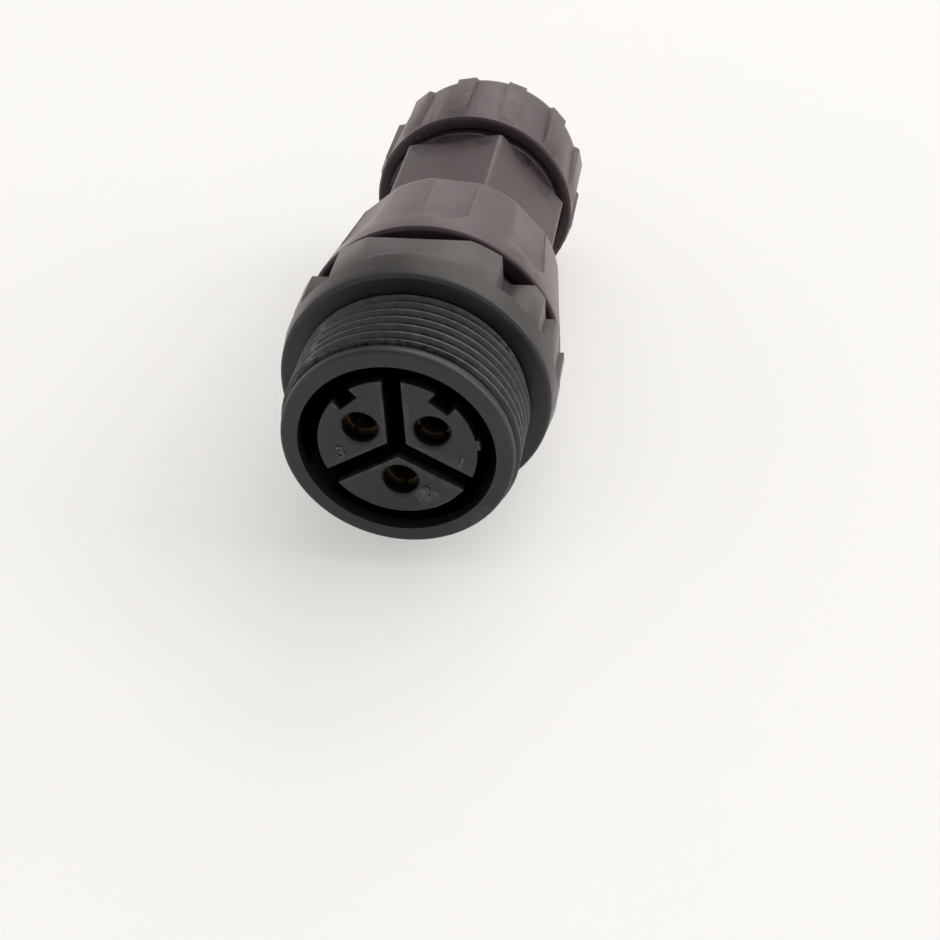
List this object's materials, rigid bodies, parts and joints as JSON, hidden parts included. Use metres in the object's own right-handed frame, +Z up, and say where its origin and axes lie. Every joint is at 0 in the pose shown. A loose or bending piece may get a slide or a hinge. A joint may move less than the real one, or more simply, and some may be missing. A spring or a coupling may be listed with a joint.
{
  "type": "inline socket connector",
  "caption": "Round waterproof inline cable connector, socket side: split insert with contact holes in a threaded mouth, stepped grip, tapered body and ribbed gland nut.",
  "frame": {"origin": "middle of the coupling thread, on the connector's axis", "axes": "+Y along the connector's axis, from the open mouth towards the cable end. +Z up through the upper arm of the insert's slot, +X to the right seen from the front."},
  "size_m": [0.0334, 0.0708, 0.0336],
  "materials": {
    "front_plastic": "moulded nylon, slightly glossy on the thread",
    "rear_plastic": "moulded nylon, fine satin, a little scuffed",
    "nut_plastic": "moulded nylon, fine satin",
    "insert_plastic": "moulded nylon, satin",
    "housing_plastic": "moulded nylon, satin",
    "claw_plastic": "moulded nylon, satin",
    "black_rubber": "matte silicone rubber",
    "contact_brass": "turned brass, slightly dull",
    "spring_steel": "spring steel",
    "screw_steel": "zinc-plated steel"
  },
  "bodies": {
    "front": {"front_shell": "front_plastic", "body_o_ring": "black_rubber", "socket_insert": "insert_plastic", "insert_gasket": "black_rubber", "terminal_housing": "housing_plastic", "insert_lock_ring": "housing_plastic", "socket_contact_1": "contact_brass", "socket_contact_2": "contact_brass", "socket_contact_3": "contact_brass", "contact_spring_1": "spring_steel", "contact_spring_2": "spring_steel", "contact_spring_3": "spring_steel"},
    "seal_pack": {"clamp_claw": "claw_plastic", "cable_seal": "black_rubber"},
    "rear": {"rear_shell": "rear_plastic"},
    "slip": {"gland_washer": "claw_plastic"},
    "nut": {"gland_nut": "nut_plastic"},
    "foot_1": {"clamp_foot_1": "contact_brass"},
    "screw_1": {"terminal_screw_1": "screw_steel"},
    "foot_2": {"clamp_foot_2": "contact_brass"},
    "screw_2": {"terminal_screw_2": "screw_steel"},
    "foot_3": {"clamp_foot_3": "contact_brass"},
    "screw_3": {"terminal_screw_3": "screw_steel"}
  },
  "joints": [
    {"name": "body_travel", "type": "slide", "parent": "front", "child": "seal_pack", "axis": [0, 1, 0], "range_m": [0, 0.0053]},
    {"name": "body_turn", "type": "hinge", "parent": "seal_pack", "child": "rear", "pos_m": [0, 0.0238, 0], "axis": [0, 1, 0], "range_deg": [0, 1248]},
    {"name": "gland_travel", "type": "slide", "parent": "rear", "child": "slip", "axis": [0, 1, 0], "range_m": [-0.0016, 0.0071]},
    {"name": "gland_turn", "type": "hinge", "parent": "slip", "child": "nut", "pos_m": [0, 0.0538, 0], "axis": [0, 1, 0], "range_deg": [-360, 1680]},
    {"name": "foot_1_travel", "type": "slide", "parent": "front", "child": "foot_1", "axis": [-0.866, 0, -0.5], "range_m": [0, 0.0012]},
    {"name": "screw_1_turn", "type": "hinge", "parent": "foot_1", "child": "screw_1", "pos_m": [0.00414, 0.0263, 0.00239], "axis": [-0.866, 0, -0.5], "range_deg": [0, 866]},
    {"name": "foot_2_travel", "type": "slide", "parent": "front", "child": "foot_2", "axis": [0, 0, 1], "range_m": [0, 0.0012]},
    {"name": "screw_2_turn", "type": "hinge", "parent": "foot_2", "child": "screw_2", "pos_m": [0, 0.0263, -0.00478], "axis": [0, 0, 1], "range_deg": [0, 866]},
    {"name": "foot_3_travel", "type": "slide", "parent": "front", "child": "foot_3", "axis": [0.866, 0, -0.5], "range_m": [0, 0.0012]},
    {"name": "screw_3_turn", "type": "hinge", "parent": "foot_3", "child": "screw_3", "pos_m": [-0.00414, 0.0263, 0.00239], "axis": [0.866, 0, -0.5], "range_deg": [0, 866]}
  ],
  "couplings": [
    {"joint": "body_travel", "follows": "body_turn", "m_per_rad": 0.00023873},
    {"joint": "gland_travel", "follows": "gland_turn", "m_per_rad": 0.00023873},
    {"joint": "screw_1_turn", "follows": "foot_1_travel", "rad_per_m": 12566},
    {"joint": "screw_2_turn", "follows": "foot_2_travel", "rad_per_m": 12566},
    {"joint": "screw_3_turn", "follows": "foot_3_travel", "rad_per_m": 12566}
  ]
}
